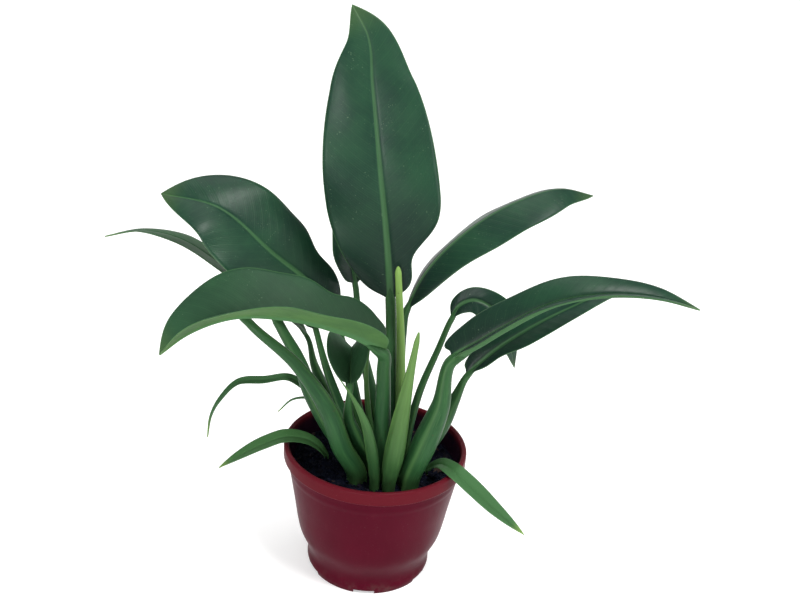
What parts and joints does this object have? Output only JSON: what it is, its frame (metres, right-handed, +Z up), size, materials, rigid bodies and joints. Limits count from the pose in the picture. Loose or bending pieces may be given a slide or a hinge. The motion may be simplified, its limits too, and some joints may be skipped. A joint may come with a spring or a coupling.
{
  "type": "potted philodendron",
  "caption": "Young philodendron in a round tapered nursery pot: long glossy lance-shaped leaves arch from swollen stalks that rise from dark soil.",
  "frame": {"origin": "centre of the pot's base, on the surface that the pot stands on", "axes": "+Z up along the pot's axis; the plant's front looks along -Y; +X is to the right seen from the front"},
  "size_m": [0.4645, 0.1931, 0.4505],
  "materials": {
    "pot_plastic": "dark red injection-moulded plastic with a satin gloss",
    "soil": "damp dark potting mix, crumbly and matt",
    "leaf": "dark green waxy leaf with a pale midrib and a soft gloss",
    "stalk": "mid-green smooth stalk, slightly ribbed",
    "new_growth": "yellow-green rolled new leaves and sheaths"
  },
  "bodies": {
    "root": {"blade_back_left": "leaf", "blade_far_left": "leaf", "blade_folded_small": "leaf", "blade_front_left": "leaf", "blade_left_back": "leaf", "blade_left_low": "leaf", "blade_left_mid": "leaf", "blade_lower_right": "leaf", "blade_right_back": "leaf", "blade_right_front": "leaf", "blade_tall": "leaf", "blade_upper_left": "leaf", "blade_upper_right": "leaf", "green_spear": "new_growth", "left_strap": "leaf", "low_left_strap": "leaf", "low_right_strap": "leaf", "pot": "pot_plastic", "sheath": "new_growth", "sliver": "leaf", "soil": "soil", "stalk_back_left": "stalk", "stalk_far_left": "stalk", "stalk_folded_small": "stalk", "stalk_front_left": "stalk", "stalk_left_back": "stalk", "stalk_left_low": "stalk", "stalk_left_mid": "stalk", "stalk_lower_right": "stalk", "stalk_right_back": "stalk", "stalk_right_front": "stalk", "stalk_tall": "stalk", "stalk_upper_left": "stalk", "stalk_upper_right": "stalk", "thin_spear": "new_growth", "yellow_spear": "new_growth"}
  },
  "joints": []
}
